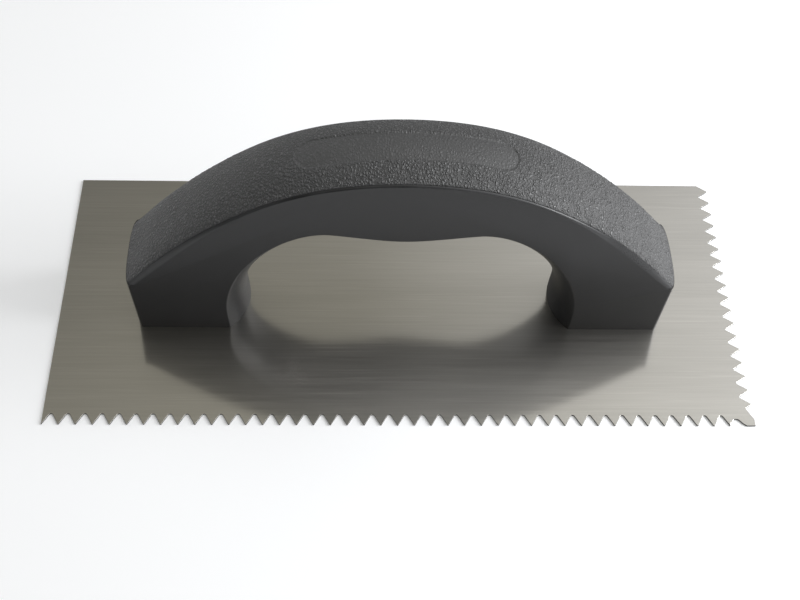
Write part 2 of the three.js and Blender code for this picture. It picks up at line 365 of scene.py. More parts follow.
def lathe(shape, profile, centre, segments):
    """Adds a turned surface to a bmesh, from (radius, height) pairs. A pair on the axis
    becomes a pole."""
    rings = []
    for radius, height in profile:
        flat = around(centre, radius, segments) if radius else [(centre.x, centre.y)]
        rings.append([shape.verts.new((x, y, height)) for x, y in flat])
    for lower, upper in zip(rings, rings[1:]):
        skin(shape, lower, upper)
    return rings


# Materials

def empty_material(name):
    """A material without a surface yet, its wiring and its object coordinates."""
    material = bpy.data.materials.new(name)
    material.use_nodes = True
    material.node_tree.nodes.clear()
    wiring = Wiring(material.node_tree)
    return material, wiring, wiring.add("ShaderNodeTexCoord").outputs["Object"]


def new_material(name):
    """A material with one Principled shader, its wiring and its object coordinates."""
    material, wiring, place_in_object = empty_material(name)
    shader = wiring.add("ShaderNodeBsdfPrincipled")
    wiring.add("ShaderNodeOutputMaterial", {"Surface": shader.outputs[0]})
    return material, wiring, shader, place_in_object


def tinted(wiring, colour, factor, dark, light, clamp=True):
    """A colour whose brightness runs from dark to light times its own as factor goes 0 to 1,
    and beyond both when it isn't clamped."""
    low, high = ((*[channel * share for channel in colour], 1) for share in (dark, light))
    return wiring.add("ShaderNodeMix", {0: factor, 6: low, 7: high}, data_type="RGBA",
                      clamp_factor=clamp).outputs[2]


def noise_on(wiring, coordinates, stretch, detail=2, roughness=0.5, turn=0.0):
    """Noise whose cells are 1 / stretch metres long. The stretch is one number, or one for
    each direction."""
    if not isinstance(stretch, tuple):
        stretch = (stretch, stretch, stretch)
    mapping = wiring.add("ShaderNodeMapping", {
        "Vector": coordinates, "Scale": stretch, "Rotation": (0, 0, turn)})
    return wiring.add("ShaderNodeTexNoise", {
        "Vector": mapping.outputs[0], "Scale": 1.0, "Detail": detail,
        "Roughness": roughness}).outputs[0]


def steel_material(settings):
    """Cold rolled sheet steel, brushed along X, with a few fine scratches. Some of its light is
    mirrored and some is spread into a haze. The sheared edges are rougher, and they are painted
    dark as painted shade."""
    material, wiring, spot = empty_material("brushed_steel")
    fine = noise_on(wiring, spot, (45, 4200, 900), detail=3, roughness=0.6)
    medium = noise_on(wiring, spot, (26, 1300, 300))
    broad = noise_on(wiring, spot, (9, 60, 30))
    cloud = noise_on(wiring, spot, (14, 20, 20), detail=3)
    scratch_lines = noise_on(wiring, spot, (40, 2200, 600), detail=0, turn=0.006)
    scratches = wiring.remap(scratch_lines, 0.68, 0.8, kind="SMOOTHSTEP")
    streaks = wiring.math("ADD", wiring.math("MULTIPLY", fine, 0.5),
                          wiring.math("MULTIPLY", medium, 0.5))
    tone = wiring.math("ADD", wiring.math("MULTIPLY", streaks, 0.6),
                       wiring.math("MULTIPLY", broad, 0.4))
    bright = wiring.math("ADD", wiring.vary(tone, -0.3, 1.3),
                         wiring.math("MULTIPLY", scratches, 0.5))
    cut_edge = wiring.mark("cut_edge")
    # The cut faces are painted dark: painted shade along the sheared edges.
    shade = wiring.math("SUBTRACT", bright, wiring.math("MULTIPLY", cut_edge, 5.8))
    colour = tinted(wiring, settings.steel, shade, 0.93, 1.07, clamp=False)
    rough = wiring.math("ADD", wiring.vary(medium, -0.02, 0.025),
                        wiring.vary(cloud, -0.015, 0.015))
    rough = wiring.math("ADD", rough, wiring.math("MULTIPLY", cut_edge, 0.25))
    bump = wiring.bump(streaks, 0.5, 0.02 * MM)
    tangent = wiring.add("ShaderNodeTangent", direction_type="UV_MAP", uv_map="brushing")
    mirror, haze = (wiring.add("ShaderNodeBsdfPrincipled", {
        "Base Color": colour, "Metallic": 1.0, "Anisotropic": stretch,
        "Roughness": wiring.math("ADD", rough, level), "Anisotropic Rotation": 0.25,
        "Normal": bump, "Tangent": tangent.outputs[0]})
        for level, stretch in ((settings.roughness, 0.4), (settings.haze_roughness, 0.6)))
    surface = wiring.add("ShaderNodeMixShader", {
        "Fac": settings.haze, 1: mirror.outputs[0], 2: haze.outputs[0]})
    wiring.add("ShaderNodeOutputMaterial", {"Surface": surface.outputs[0]})
    return material


def plastic_material(settings):
    """Smooth moulded plastic with a faint satin mottle, and edge rounds that are glossier and
    painted paler: partly wear, partly a painted highlight.
    """
    material, wiring, shader, spot = new_material("satin_plastic")
    cloud = noise_on(wiring, spot, 35, detail=4)
    speck = noise_on(wiring, spot, 2400)
    # The edge rounds are painted paler: partly wear, partly a painted highlight.
    rubbed = wiring.mark("rubbed")
    wear_and_highlight = wiring.math("MULTIPLY", rubbed, wiring.remap(cloud, 0.35, 0.65, kind="SMOOTHSTEP"))
    shade = wiring.math("ADD", wiring.remap(cloud, 0.25, 0.75, 0, 0.35),
                        wiring.math("MULTIPLY", wear_and_highlight, 0.65), clamp=True)
    rough = wiring.math("ADD", wiring.vary(cloud, -0.05, 0.05), wiring.vary(speck, -0.03, 0.03))
    rough = wiring.math("SUBTRACT", rough, wiring.math("MULTIPLY", rubbed, 0.1))
    wiring.feed(shader, {
        "Base Color": tinted(wiring, settings.plastic, shade, 0.85, 2.0),
        "Roughness": wiring.math("ADD", rough, settings.roughness),
        "Normal": wiring.bump(speck, 0.12, 0.02 * MM), "Specular IOR Level": 0.4})
    return material


def grip_material(settings):
    """Textured plastic: the grain's tops are glossier than its creases, and are painted paler
    while the creases are painted darker, as painted highlight and painted shade; a bump with the
    same pebbles as the geometry sharpens their flanks."""
    material, wiring, shader, spot = new_material("grained_grip")
    room = wiring.mark("grain_room")
    pebbles = grain_height(wiring, spot, 1 / settings.grain_size, float(settings.seed))
    grain = wiring.math("MULTIPLY", pebbles, room)
    cloud = noise_on(wiring, spot, 40, detail=3)
    speck = noise_on(wiring, spot, 3500)
    # Grain tops painted paler and creases painted darker: painted highlight and painted shade.
    painted_grain_shading = wiring.math("MULTIPLY", wiring.math("SUBTRACT", pebbles, 0.5), room)
    shade = wiring.math("ADD", wiring.math("MULTIPLY", painted_grain_shading, 0.8),
                        wiring.remap(cloud, 0.25, 0.75, 0.35, 0.6), clamp=True)
    rough = wiring.math("ADD", wiring.remap(grain, 0, 1, 0.2, -0.04),
                        wiring.vary(speck, -0.04, 0.04))
    flanks = wiring.bump(grain, 1.0, 1.3 * settings.grain_depth)
    wiring.feed(shader, {
        "Base Color": tinted(wiring, settings.rubber, shade, 0.6, 1.3),
        "Roughness": wiring.math("ADD", rough, settings.roughness),
        "Normal": wiring.bump(speck, 0.25, 0.03 * MM, Normal=flanks),
        "Specular IOR Level": 0.7})
    return material


def zinc_material(settings):
    """Zinc plating, slightly cloudy, turned on a lathe."""
    material, wiring, shader, spot = new_material("zinc_plate")
    cloud = noise_on(wiring, spot, 500, detail=4)
    fine = noise_on(wiring, spot, 3000)
    wiring.feed(shader, {
        "Base Color": tinted(wiring, settings.zinc, cloud, 0.75, 1.2),
        "Roughness": wiring.vary(cloud, 0.28, 0.45), "Metallic": 1.0,
        "Normal": wiring.bump(fine, 0.2, 0.03 * MM)})
    return material


# Blade

# Spots near the square front corner, as distances from the corner along an edge and in from
# it. The long edge ends in a shortened tooth, a wide and shallow notch and a land. The short
# edge starts with a land and a leaning notch. Both notches have a knee next to their land.
LAST_TOOTH_LOSS = 0.75 * MM
CORNER_FLOOR = ((6.6 * MM, 2.5 * MM), (5.3 * MM, 2.4 * MM))
CORNER_FLOOR_ROUNDS = (0.4 * MM, 0.8 * MM)
CORNER_KNEE = (3.9 * MM, 0.85 * MM)
LONG_EDGE_LAND = 2.8 * MM
SHORT_EDGE_LAND = 2.5 * MM
LEANING_VALLEY = (6.5 * MM, 2.2 * MM)
LEANING_ROUND = 0.3 * MM
VALLEY_STEPS = 5
OUTLINE_WELD = 0.01 * MM


def rounded_valley(start, apex, end, radius):
    """The bend of a notch from start to end, with its apex replaced by an arc."""
    start, apex, end = (np.array(point, float) for point in (start, apex, end))
    to_start = (start - apex) / np.linalg.norm(start - apex)
    to_end = (end - apex) / np.linalg.norm(end - apex)
    half = math.acos(float(np.clip(to_start @ to_end, -1, 1))) / 2
    middle = (to_start + to_end) / np.linalg.norm(to_start + to_end)
    centre = apex + middle * radius / math.sin(half)
    reach = math.pi / 2 - half
    across = np.array([middle[1], -middle[0]])
    if across @ to_start < 0:
        across = -across
    points = []
    for step in range(VALLEY_STEPS + 1):
        angle = reach * (1 - 2 * step / VALLEY_STEPS)
        points.append(centre + radius * (across * math.sin(angle) - middle * math.cos(angle)))
    return points


def even_notch(settings, depth, valley):
    """One pitch of a toothed edge, centred on its notch, as (along, depth) points."""
    half = settings.notch_width / 2
    apex_depth = depth * half / (half - valley / 2)
    slope = math.atan2(half, apex_depth)
    radius = (apex_depth - depth) / (1 / math.sin(slope) - 1)
    points = [(-settings.pitch / 2, 0), (-half, 0)]
    points += rounded_valley((-half, 0), (0, apex_depth), (half, 0), radius)
    return points + [(half, 0), (settings.pitch / 2, 0)]


def corner_outline(settings):
    """The stretches of the outline that don't repeat: the square front corner with the odd
    notch on each side of it, the cut-through notch at the back, and the plain edges."""
    right, back = BLADE_LENGTH / 2, BLADE_DEPTH / 2
    half, land = settings.notch_width / 2, (settings.pitch - settings.notch_width) / 2
    last_tip, first_tip = right - 1.5 * settings.pitch, 1.5 * settings.pitch - back

    def on_long_edge(along, inward):
        return right - along, inward - back

    def on_short_edge(along, inward):
        return right - inward, along - back

    spots = [on_long_edge(*spot) for spot in (*CORNER_FLOOR, CORNER_KNEE)]
    front = [(last_tip - land, -back), (last_tip, LAST_TOOTH_LOSS - back)]
    for radius, apex, end in zip(CORNER_FLOOR_ROUNDS, spots, spots[1:]):
        front += rounded_valley(front[-1], apex, end, radius)
    front += [spots[-1], on_long_edge(LONG_EDGE_LAND, 0)]
    side = [(right, -back), on_short_edge(SHORT_EDGE_LAND, 0), on_short_edge(*CORNER_KNEE)]
    side += rounded_valley(side[-1], on_short_edge(*LEANING_VALLEY),
                           (right, first_tip - land), LEANING_ROUND)
    side += [(right, first_tip - land), (right, first_tip)]
    rear = [(right, back - settings.pitch / 2), (right, back - half)]
    rear += [(right - settings.short_depth, back), (-right, back), (-right, -back)]
    return front + side, rear


def wire_mesh(name, chains):
    """A mesh of edges only, from open or closed chains of (x, y) points."""
    points, edges = [], []
    for chain, closed in chains:
        first = len(points)
        points += [(float(x), float(y), 0.0) for x, y in chain]
        edges += [(first + i, first + i + 1) for i in range(len(chain) - 1)]
        if closed:
            edges.append((len(points) - 1, first))
    mesh = bpy.data.meshes.new(name)
    mesh.from_pydata(points, edges, [])
    return mesh


def sheet_tree(material):
    """Sets a row of equal teeth along two edges, closes the outline, fills it and gives it
    its thickness."""
    tree, wiring, entry = geometry_tree("Notched sheet", [
        ("Long tooth", "NodeSocketObject"), ("Short tooth", "NodeSocketObject"),
        ("Pitch", "NodeSocketFloat"),
        ("Long teeth", "NodeSocketInt"), ("Long start", "NodeSocketVector"),
        ("Short teeth", "NodeSocketInt"), ("Short start", "NodeSocketVector"),
        ("Thickness", "NodeSocketFloat")])
    pitch = entry.outputs["Pitch"]
    along_x = wiring.add("ShaderNodeCombineXYZ", {"X": pitch})
    along_y = wiring.add("ShaderNodeCombineXYZ", {"Y": pitch})
    joined = wiring.add("GeometryNodeJoinGeometry", {"Geometry": entry.outputs["Geometry"]})
    rows = (("Long", along_x, 0.0), ("Short", along_y, math.pi / 2))
    for edge, offset, turn in rows:
        tooth = wiring.add("GeometryNodeObjectInfo", {"Object": entry.outputs[f"{edge} tooth"]})
        line = wiring.add("GeometryNodeMeshLine", {
            "Count": entry.outputs[f"{edge} teeth"],
            "Start Location": entry.outputs[f"{edge} start"],
            "Offset": offset.outputs[0]}, mode="OFFSET")
        teeth = wiring.add("GeometryNodeInstanceOnPoints", {
            "Points": line.outputs[0], "Instance": tooth.outputs["Geometry"],
            "Rotation": (0, 0, turn)})
        wiring.tree.links.new(teeth.outputs[0], joined.inputs["Geometry"])
    real = wiring.add("GeometryNodeRealizeInstances", {"Geometry": joined.outputs[0]})
    welded = wiring.add("GeometryNodeMergeByDistance", {
        "Geometry": real.outputs[0], "Distance": OUTLINE_WELD})
    outline = wiring.add("GeometryNodeMeshToCurve", {"Mesh": welded.outputs[0]})
    face = wiring.add("GeometryNodeFillCurve", {"Curve": outline.outputs[0]}, mode="NGONS")
    rise = wiring.add("ShaderNodeCombineXYZ", {"Z": entry.outputs["Thickness"]})
    raised = wiring.add("GeometryNodeExtrudeMesh", {
        "Mesh": face.outputs[0], "Offset": rise.outputs[0], "Individual": False}, mode="FACES")
    under = wiring.add("GeometryNodeFlipFaces", {"Mesh": face.outputs[0]})
    both = wiring.add("GeometryNodeJoinGeometry", {"Geometry": raised.outputs["Mesh"]})
    wiring.tree.links.new(under.outputs[0], both.inputs["Geometry"])
    closed = wiring.add("GeometryNodeMergeByDistance", {
        "Geometry": both.outputs[0], "Distance": OUTLINE_WELD / 2})
    finish_tree(wiring, closed.outputs[0], material)
    return tree


def screw_centres():
    return [(low + high) / 2 for low, high in SCREW_BOXES]


# The dimples pressed into the blade around its screw holes
DIMPLE_SEGMENTS = 64
DIMPLE_SPREAD = 6.2 * MM
DIMPLE_MOUTH = 4.67 * MM
DIMPLE_HOLE = 2.2 * MM
DIMPLE_ROUND = 0.35 * MM
DIMPLE_CHAMFER = 0.1 * MM


def dimple_profile():
    """Half section of a pressed dimple, from the sheet's underside round to its top face."""
    mouth, hole, soft, chamfer = DIMPLE_MOUTH, DIMPLE_HOLE, DIMPLE_ROUND, DIMPLE_CHAMFER
    outer = mouth + BLADE_TOP * math.sqrt(2)
    return [
        (DIMPLE_SPREAD, 0),
        (mouth + soft, 0),
        (mouth, 0.8 * chamfer),
        (mouth - soft, soft + 0.2 * chamfer),
        (hole + chamfer, mouth - hole - chamfer),
        (hole, mouth - hole + 0.5 * chamfer),
        (hole, outer - hole - 1.5 * chamfer),
        (hole + chamfer, outer - hole - chamfer),
        (outer - BLADE_TOP - soft, BLADE_TOP + soft),
        (outer - BLADE_TOP, BLADE_TOP + chamfer),
        (outer - BLADE_TOP + soft, BLADE_TOP),
        (DIMPLE_SPREAD, BLADE_TOP),
    ]


def bevel_rims(shape, width):
    """Bevels the cut edges, where the flat faces meet the sheet's thickness."""
    bmesh.ops.recalc_face_normals(shape, faces=shape.faces)
    rims = [edge for edge in shape.edges if len(edge.link_faces) == 2
            and edge.calc_face_angle() > math.radians(80)
            and abs(edge.verts[0].co.z - edge.verts[1].co.z) < WELD
            and min(abs(edge.verts[0].co.z), abs(edge.verts[0].co.z - BLADE_TOP)) < WELD]
    bmesh.ops.bevel(shape, geom=rims, offset=width, offset_type="OFFSET", segments=2,
                    profile=0.5, affect="EDGES", clamp_overlap=True)


def brushing_map(mesh):
    """A UV map in which U runs along X, so that the brushing has a direction."""
    layer = mesh.uv_layers.new(name="brushing")
    for loop in mesh.loops:
        point = mesh.vertices[loop.vertex_index].co
        layer.data[loop.index].uv = (point.x / BLADE_LENGTH + 0.5, point.y / BLADE_LENGTH + 0.5)


def finish_sheet(mesh):
    """Flat shading on the sheet's level faces, so that its bent rims don't tilt their light, and
    a mark on the upright faces that the shears left, which the steel paints dark as painted
    shade and makes rougher."""
    layer = mesh.attributes.new("cut_edge", "FLOAT", "FACE")
    centres = [centre.xy for centre in screw_centres()]
    for face in mesh.polygons:
        if abs(face.normal.z) > 0.9999:
            face.use_smooth = False
        clear = min((face.center.xy - centre).length for centre in centres)
        if abs(face.normal.z) < 0.5 and clear > DIMPLE_SPREAD:
            layer.data[face.index].value = 1


def build_blade(settings):
    front, rear = corner_outline(settings)
    rims = [(around(centre, DIMPLE_SPREAD, DIMPLE_SEGMENTS), True)
            for centre in screw_centres()]
    base = place(wire_mesh("outline", [(front, False), (rear, False), *rims]), "outline")
    long_tooth, short_tooth = (
        place(wire_mesh("tooth", [(even_notch(settings, depth, valley), False)]), "tooth")
        for depth, valley in ((settings.long_depth, settings.long_valley),
                              (settings.short_depth, settings.short_valley)))
    material = steel_material(settings)
    tree = sheet_tree(material)
    long_teeth = math.floor(LONG_EDGE_PITCHES) - 1
    right, back = BLADE_LENGTH / 2, BLADE_DEPTH / 2
    mesh = bake(base, tree, {
        "Long tooth": long_tooth, "Short tooth": short_tooth,
        "Pitch": settings.pitch, "Long teeth": long_teeth,
        "Long start": (settings.pitch / 2 - right, -back, 0),
        "Short teeth": SHORT_EDGE_PITCHES - 2,
        "Short start": (right, 2 * settings.pitch - back, 0),
        "Thickness": BLADE_TOP}, "trowel_blade")
    discard(base, long_tooth, short_tooth)
    shape = bmesh.new()
    shape.from_mesh(mesh)
    bevel_rims(shape, settings.edge_bevel)
    for centre in screw_centres():
        lathe(shape, dimple_profile(), centre, DIMPLE_SEGMENTS)
    bmesh.ops.remove_doubles(shape, verts=shape.verts, dist=2 * WELD)
    write_mesh(shape, mesh)
    paint(mesh, material)
    brushing_map(mesh)
    smooth(mesh, 25)
    finish_sheet(mesh)
    return place(mesh, "trowel_blade")


# Handle outlines

CURVE_SAMPLES = 400


def bezier(points, t):
    """Points and unit tangents of a cubic curve, at the parameters t."""
    start, pull_start, pull_end, end = (np.array(point, float) for point in points)
    t = np.asarray(t, float)[:, None]
    s = 1 - t
    spots = s**3 * start + 3 * s * s * t * pull_start + 3 * s * t * t * pull_end + t**3 * end
    slopes = s * s * (pull_start - start) + 2 * s * t * (pull_end - pull_start)
    slopes += t * t * (end - pull_end)
    return spots, slopes / np.linalg.norm(slopes, axis=1)[:, None]


def even_steps(points, spacing):
    """Curve parameters that lie about spacing apart along the curve."""
    fine = np.linspace(0, 1, CURVE_SAMPLES)
    spots, _ = bezier(points, fine)
    travelled = np.concatenate([[0], np.cumsum(np.linalg.norm(np.diff(spots, axis=0), axis=1))])
    count = max(2, round(travelled[-1] / spacing))
    return np.interp(np.linspace(0, travelled[-1], count + 1), travelled, fine)


def smoothstep(value, low, high):
    share = np.clip((value - low) / (high - low), 0, 1)
    return share * share * (3 - 2 * share)


class Outline:
    """Places along an outline: x and z, the direction out of the surface, the direction that
    leads below it, the bulge there, how square it is, and how far along the crown it lies
    (0 at a shoulder, 1 at the crest)."""

    FIELDS = ("spots", "out", "below", "rise", "square", "along")

    def __init__(self, **fields):
        count = len(fields["spots"])
        for name in self.FIELDS:
            value = np.asarray(fields[name], float)
            setattr(self, name, np.full(count, float(value)) if value.ndim == 0 else value)

    def fields(self):
        return {name: getattr(self, name) for name in self.FIELDS}

    def mirrored(self):
        flip = np.array([-1.0, 1.0])
        turned = {name: value[::-1] for name, value in self.fields().items()}
        for name in ("spots", "out", "below"):
            turned[name] = turned[name] * flip
        return Outline(**turned)

    def joined(self, *others):
        parts = (self, *others)
        return Outline(**{name: np.concatenate([getattr(part, name) for part in parts])
                          for name in self.FIELDS})

    def without_first(self):
        return Outline(**{name: value[1:] for name, value in self.fields().items()})


def outward(tangents):
    """Normals of a curve that runs with the handle on its left."""
    return np.stack([tangents[:, 1], -tangents[:, 0]], axis=1)


def crown(spacing):
    """The crown from the right shoulder over the crest to the left one. Below the surface it
    follows its own normal, turned level close to each shoulder, so that a band ends square."""
    curve = (SHOULDER, SHOULDER_PULL, (CREST_PULL, CREST_HEIGHT), (0, CREST_HEIGHT))
    t = even_steps(curve, spacing)
    spots, tangents = bezier(curve, t)
    normals = outward(tangents)
    out = normals * np.stack([np.ones_like(t), smoothstep(t, 0, SHOULDER_BLEND)], axis=1)
    near = smoothstep(np.hypot(*(spots - SHOULDER).T), 0, LEVEL_REACH)
    level = 1 / np.maximum(normals[:, 0], 0.3)
    below = np.stack([normals[:, 0] * near + level * (1 - near), normals[:, 1] * near], axis=1)
    half = Outline(spots=spots, out=out, below=below, along=t,
                   rise=END_BULGE + (CREST_BULGE - END_BULGE) * t,
                   square=1 - smoothstep(t, *SQUARE_BLEND))
    return half.joined(half.mirrored().without_first())


def finger_side(spacing):
    """The finger side from the left foot over the palm swell to the right foot."""
    swell = ((0, PALM_SWELL_HEIGHT), (PALM_SWELL_PULLS[0], PALM_SWELL_HEIGHT),
             (PALM_SWELL_PULLS[1], ARCH_TOP[1]), ARCH_TOP)
    leg = (ARCH_TOP, (ARCH_PULL, ARCH_TOP[1]), (LEG_STRAIGHT[0], LEG_PULL), LEG_STRAIGHT)
    foot = (LEG_STRAIGHT, *FOOT_PULLS, (FOOT_INSIDE, 0))
    parts = []
    for curve in (swell, leg, foot):
        spots, tangents = bezier(curve, even_steps(curve, spacing))
        normals = outward(tangents)
        part = Outline(spots=spots, out=normals, below=normals, rise=FINGER_BULGE, square=0,
                       along=0)
        parts.append(part.without_first() if parts else part)
    half = parts[0].joined(*parts[1:])
    half.out[-1] = (-1, 0)
    return half.mirrored().joined(half.without_first())


def bulge(rise, distance, half_width, square):
    """How far a face that bulges by rise stands out, at a distance from its middle."""
    across = np.minimum(np.abs(distance), half_width)
    radius = (half_width**2 + rise**2) / (2 * rise)
    arc = np.sqrt(radius**2 - across**2) - (radius - rise)
    boxed = rise * (1 - (across / half_width) ** SQUARE_FLATNESS) ** SQUARE_FULLNESS
    return arc * (1 - square) + boxed * square


def both_halves(half):
    """A section from its front half, whose last point lies on the middle."""
    return np.concatenate([half, half[-2::-1] * np.array([-1.0, 1.0])])


EDGE_STEPS = 6
MIDDLE_STEPS = 14
END_ROWS = 18
OUTLINE_SPACING = 1.0 * MM


def end_section(rise):
    """Section across an end of the handle, which turns over smoothly into the side faces."""
    turn = np.linspace(0, math.pi / 2, EDGE_STEPS + MIDDLE_STEPS + 2)
    y = -HALF_WIDTH * np.cos(turn) ** (2 / SQUARE_FLATNESS)
    y[-1] = 0
    return both_halves(np.stack([y, bulge(rise, y, HALF_WIDTH, 1.0)], axis=1))


def finger_section(rise, edge_radius):
    """Section across the finger side: an edge round, the bulging arc, and the other round."""
    arc_radius = (HALF_WIDTH**2 + rise**2) / (2 * rise)
    arc_centre = rise - arc_radius
    inner = math.sqrt((arc_radius - edge_radius)**2 - (HALF_WIDTH - edge_radius)**2)
    centre = (-HALF_WIDTH + edge_radius, arc_centre + inner)
    end_angle = math.atan2(inner, centre[0])
    angles = np.linspace(math.pi, end_angle, EDGE_STEPS + 1)
    edge = np.stack([centre[0] + edge_radius * np.cos(angles),
                     centre[1] + edge_radius * np.sin(angles)], axis=1)
    sweep_angles = np.linspace(end_angle, math.pi / 2, MIDDLE_STEPS + 2)[1:]
    arc = np.stack([arc_radius * np.cos(sweep_angles),
                    arc_centre + arc_radius * np.sin(sweep_angles)], axis=1)
    return both_halves(np.concatenate([edge, arc]))


def strip_width(along):
    """Width of the smooth bevel between the grip band's edge and the side face, which opens
    out over the legs."""
    return BEVEL_LEG + (BEVEL_CREST - BEVEL_LEG) * smoothstep(along, *BEVEL_BLEND)


def joint_share(along):
    """How open the joint beside the band is: closed at the shoulders, open over the crown."""
    return JOINT_CLOSED + (1 - JOINT_CLOSED) * smoothstep(along, *JOINT_BLEND)


def bend(start, pull, end, steps):
    """Points of a quadratic curve."""
    share = np.linspace(0, 1, steps + 1)[:, None]
    return (1 - share)**2 * start + 2 * share * (1 - share) * pull + share**2 * end


def seat_section(rise, square, strip, step):
    """Section of the core under the band: a bevel, a step, and the band's seat."""
    inner_y = HALF_WIDTH - strip
    outer = np.array([-HALF_WIDTH, -strip])
    inner = np.array([-inner_y, bulge(rise, inner_y, BAND_HALF_WIDTH, square) - step])
    corner = np.array([-HALF_WIDTH, inner[1]])
    pull = BEVEL_FULLNESS * corner + (1 - BEVEL_FULLNESS) * (outer + inner) / 2
    edge = bend(outer, pull, inner, EDGE_STEPS)
    y = np.linspace(-inner_y, 0, MIDDLE_STEPS + 1)
    seat = bulge(rise - BAND_SWELL, y, BAND_HALF_WIDTH, square) - BAND_EDGE - SEAT_GAP
    return both_halves(np.concatenate([edge, np.stack([y, seat], axis=1)]))


def sweep(outline, sections):
    """Vertices of every section at every place: array of shape (places, section, 3)."""
    y = sections[:, :, 0]
    out = sections[:, :, 1, None]
    above = np.maximum(out, 0) * outline.out[:, None, :]
    under = np.minimum(out, 0) * outline.below[:, None, :]
    flat = outline.spots[:, None, :] + above + under
    return np.stack([flat[:, :, 0], y, flat[:, :, 1] + BLADE_TOP], axis=2)


def grid_faces(rows, columns, wrap_rows=False, wrap_columns=False):
    """Quads of a grid, whose rows or columns may close into a ring."""
    faces = []
    for row in range(rows if wrap_rows else rows - 1):
        here, there = row * columns, (row + 1) % rows * columns
        for column in range(columns if wrap_columns else columns - 1):
            after = (column + 1) % columns
            faces.append((here + column, there + column, there + after, here + after))
    return faces


def mesh_of(name, points, faces, attribute, values):
    """A mesh from a grid of points, with one number stored on each of them."""
    mesh = bpy.data.meshes.new(name)
    mesh.from_pydata(points.reshape(-1, 3).tolist(), [], faces)
    layer = mesh.attributes.new(attribute, "FLOAT", "POINT")
    layer.data.foreach_set("value", np.asarray(values, np.float32).ravel())
    return mesh


def core_mesh(settings):
    """The smooth handle: feet, ends, seat for the band, and the finger side."""
    top = crown(OUTLINE_SPACING)
    ledge_z = SHOULDER[1] - settings.joint_gap
    top.spots[0, 1] = top.spots[-1, 1] = ledge_z
    share = np.linspace(0, 1, END_ROWS)
    leg_end = np.stack([FOOT_OUTSIDE + (SHOULDER[0] - FOOT_OUTSIDE) * share,
                        ledge_z * share], axis=1)
    level = np.tile([1.0, 0.0], (len(share), 1))
    end = Outline(spots=leg_end, out=level, below=level, rise=END_BULGE, square=1, along=0)
    under = finger_side(OUTLINE_SPACING)
    whole = end.joined(top, end.mirrored(), under)
    ends = [end_section(END_BULGE - SHOULDER_INSET * part) for part in share]
    sections = list(ends)
    for rise, square, along in zip(top.rise, top.square, top.along):
        sections.append(seat_section(rise, square, float(strip_width(along)),
                                     settings.band_step * float(joint_share(along))))
    sections += reversed(ends)
    sections += [finger_section(FINGER_BULGE, settings.finger_round)] * len(under.spots)
    points = sweep(whole, np.array(sections))
    rows, columns = points.shape[:2]
    front = [row * columns for row in range(rows)]
    back = [row * columns + columns - 1 for row in reversed(range(rows))]
    # Marks the edge rounds, which the plastic paints paler and glossier: partly wear, partly a
    # painted highlight.
    rubbed = np.zeros((rows, columns))
    rubbed[:, 1:EDGE_STEPS] = rubbed[:, -EDGE_STEPS:-1] = 1
    return mesh_of("trowel_handle", points,
                   grid_faces(rows, columns, wrap_rows=True) + [front, back], "rubbed", rubbed)


# The sockets under the feet: a cone for the dimple, and a pilot hole with a pointed end
SOCKET_SEGMENTS = 48
SOCKET_RIM = 6.25 * MM
PILOT_RADIUS = 2.15 * MM
PILOT_DEPTH = 17.2 * MM
PILOT_POINT = 0.8 * MM
CUT_BELOW = 1 * MM


def socket_cutter():
    """Turned shapes that open the feet for the dimples and the screws."""
    shape = bmesh.new()
    profile = [
        (0, -CUT_BELOW), (SOCKET_RIM + CUT_BELOW, -CUT_BELOW), (SOCKET_RIM, 0),
        (PILOT_RADIUS, SOCKET_RIM - PILOT_RADIUS), (PILOT_RADIUS, PILOT_DEPTH),
        (0, PILOT_DEPTH + PILOT_POINT)]
    for centre in screw_centres():
        lathe(shape, profile, centre, SOCKET_SEGMENTS)
    return write_mesh(shape, bpy.data.meshes.new("sockets"))


def build_handle(settings):
    solid = core_mesh(settings)
    clean(solid, WELD)
    body = place(solid, "handle_body")
    cutter = place(socket_cutter(), "sockets")
    mesh = cut(body, cutter)
    discard(body, cutter)
    mesh.name = "trowel_handle"
    paint(mesh, plastic_material(settings))
    smooth(mesh, 30)
    return place(mesh, "trowel_handle")


# Grip band

GRIP_SPACING = 0.275 * MM
SECTION_SAMPLES = 240
LIP_DEPTH = 0.55 * MM
LIP_ROUND = 0.3 * MM
LIP_STEPS = 11
UNDER_STEPS = 8
UNDER_INSET = 0.3 * MM
CURVE_EXTRA = 1 * MM  # how much longer half a section is than it is wide
RECESS_EDGE = 0.55 * MM


def recess_depth_at(x, y, settings):
    """How deep the blank recess is at a place seen from above: 0 outside, 1 inside."""
    radius = settings.recess_width / 2
    straight = settings.recess_length / 2 - radius
    distance = np.hypot(np.maximum(np.abs(x) - straight, 0), y)
    return 1 - smoothstep(distance, radius - RECESS_EDGE, radius)


def lengths_along(points):
    steps = np.linalg.norm(np.diff(points, axis=0), axis=1)
    return np.concatenate([[0], np.cumsum(steps)])


def points_at(points, lengths):
    travelled = lengths_along(points)
    return np.stack([np.interp(lengths, travelled, points[:, axis]) for axis in (0, 1)], axis=1)


def band_top(rise, square, lip_y, steps):
    """The band's section from its front lip's foot to its middle, in even steps, and how far
    each point is from the foot."""
    turn = np.linspace(0, math.pi / 2, SECTION_SAMPLES)
    y = -lip_y * np.cos(turn) ** (2 / SQUARE_FLATNESS)
    y[-1] = 0
    surface = np.stack([y, bulge(rise, y, BAND_HALF_WIDTH, square)], axis=1)
    corner = surface[0]
    wall_top = corner - (0, LIP_ROUND)
    after = points_at(surface, [LIP_ROUND])[0]
    lip = bend(wall_top, corner, after, LIP_STEPS)
    rest = surface[lengths_along(surface) > LIP_ROUND]
    whole = np.concatenate([[corner - (0, LIP_DEPTH)], lip, rest])
    lengths = np.linspace(0, lengths_along(whole)[-1], steps + 1)
    return points_at(whole, lengths), lengths


